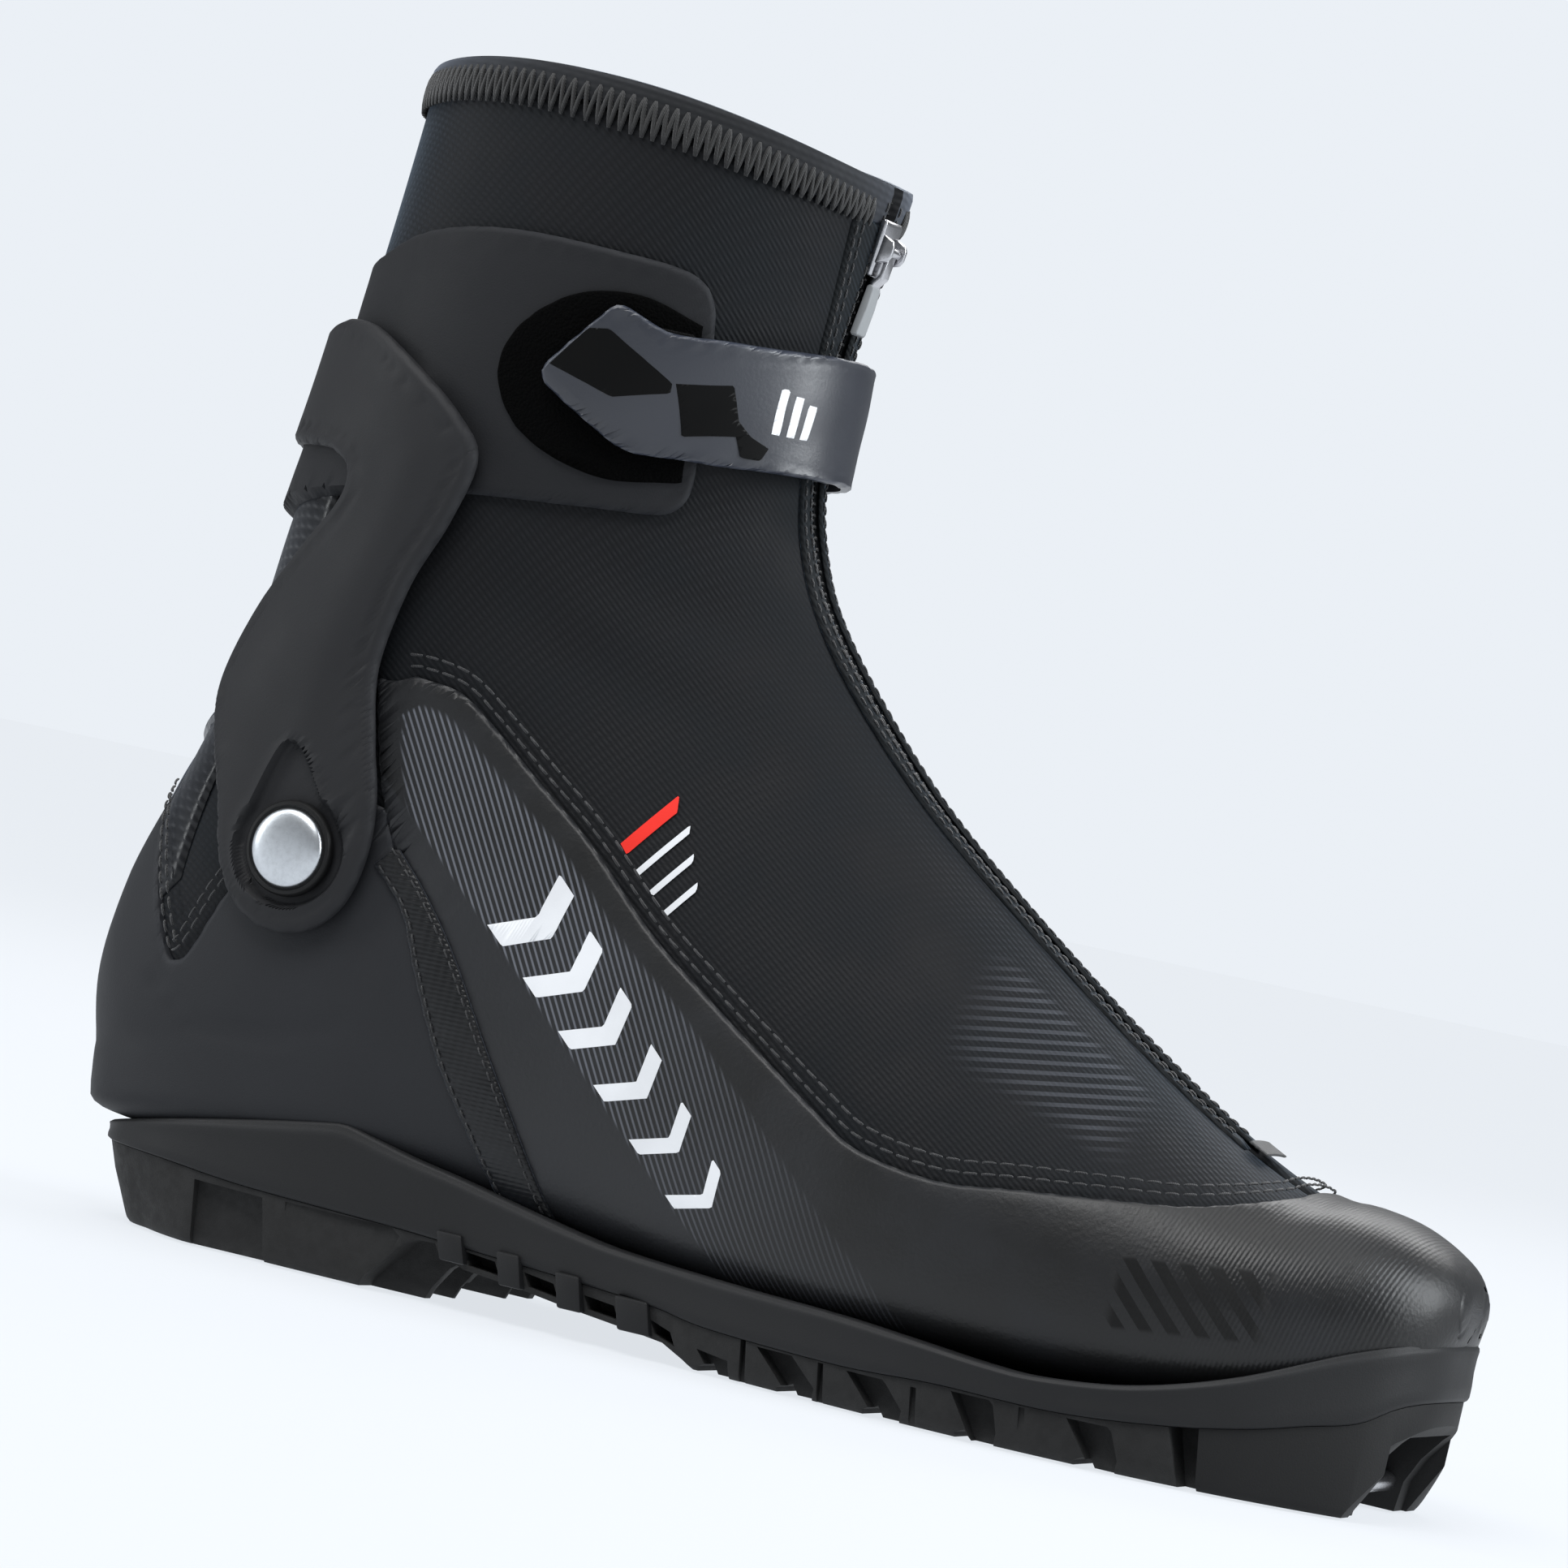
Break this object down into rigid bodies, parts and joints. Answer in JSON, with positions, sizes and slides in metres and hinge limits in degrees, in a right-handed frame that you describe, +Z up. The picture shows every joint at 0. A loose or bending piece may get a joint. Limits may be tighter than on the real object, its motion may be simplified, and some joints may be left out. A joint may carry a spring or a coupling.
{
  "type": "cross country boot",
  "caption": "Zipped softshell cross-country ski boot, right foot, with a hinged ankle cuff, a hook-and-loop strap, a moulded heel counter and a lugged binding sole.",
  "frame": {"origin": "bottom centre of the box, on the floor under the sole", "axes": "+X to the toe, -Y to the outer side of the foot, +Z up"},
  "size_m": [0.3012, 0.096, 0.2444],
  "materials": {
    "softshell": "matte twill softshell",
    "synthetic": "satin synthetic",
    "moulded": "matte moulded plastic",
    "sole_frame": "matte moulded plastic",
    "tread_rubber": "matte",
    "webbing": "woven tape",
    "strap": "satin webbing",
    "pad": "hook and loop",
    "lining": "brushed lining",
    "board": "pressed fibre",
    "lace": "braided",
    "satin_metal": "satin",
    "steel": "polished",
    "pull": "satin"
  },
  "bodies": {
    "boot": {"forefoot_tread": "tread_rubber", "heel_tread": "tread_rubber", "midsole_frame": "sole_frame", "toe_binding_block": "sole_frame", "binding_bar": "steel", "lasting_board": "board", "footbed": "lining", "vamp_shell": "softshell", "vamp_overlay": "synthetic", "heel_counter": "moulded", "seam_tape_lateral": "synthetic", "seam_tape_medial": "synthetic", "tongue": "lining", "eyestay_lateral": "synthetic", "eyestay_medial": "synthetic", "lace": "lace", "softshell_lateral": "softshell", "softshell_medial": "softshell", "achilles_bellows": "softshell", "zipper_tape_lateral": "webbing", "zipper_tape_medial": "webbing", "zipper_chain": "webbing", "zip_bottom_stop": "webbing", "heel_pull_loop": "webbing", "pivot_rivet_lateral": "steel", "pivot_rivet_medial": "steel", "pivot_washer_lateral": "satin_metal", "pivot_washer_medial": "satin_metal", "pivot_plate_lateral": "steel", "pivot_plate_medial": "steel"},
    "ankle_cuff": {"collar_liner": "softshell", "collar_hem": "webbing", "cuff_wrap": "moulded", "closure_pad": "pad", "cuff_yoke": "moulded", "pivot_cap_lateral": "satin_metal", "pivot_cap_medial": "satin_metal", "strap_anchor": "moulded"},
    "strap": {"strap_band": "strap"},
    "strap_tip": {"strap_tip": "strap", "hook_pad": "pad"},
    "zip_slider": {"zip_slider": "steel"},
    "zip_pull": {"zip_pull": "pull"}
  },
  "joints": [
    {"name": "cuff_flex", "type": "hinge", "parent": "boot", "child": "ankle_cuff", "pos_m": [-0.1004, 0, 0.082], "axis": [0, 1, 0], "range_deg": [-4, 12], "stiffness_Nm_per_rad": 4, "deforming": ["softshell_lateral", "softshell_medial", "achilles_bellows", "zipper_tape_lateral", "zipper_tape_medial", "zipper_chain"]},
    {"name": "strap_swing", "type": "hinge", "parent": "ankle_cuff", "child": "strap", "pos_m": [-0.05655, 0.04548, 0.1865], "axis": [0, 0, 1], "range_deg": [0, 100]},
    {"name": "strap_peel", "type": "hinge", "parent": "strap", "child": "strap_tip", "pos_m": [-0.03855, -0.03515, 0.1865], "axis": [0, 0, 1], "range_deg": [0, 70]},
    {"name": "zip_slide", "type": "slide", "parent": "ankle_cuff", "child": "zip_slider", "axis": [-0.1492, 0, -0.9888], "range_m": [0, 0.012]},
    {"name": "pull_flip", "type": "hinge", "parent": "zip_slider", "child": "zip_pull", "pos_m": [-0.01633, 0.0015, 0.22204], "axis": [0, -1, 0], "range_deg": [0, 150]}
  ]
}
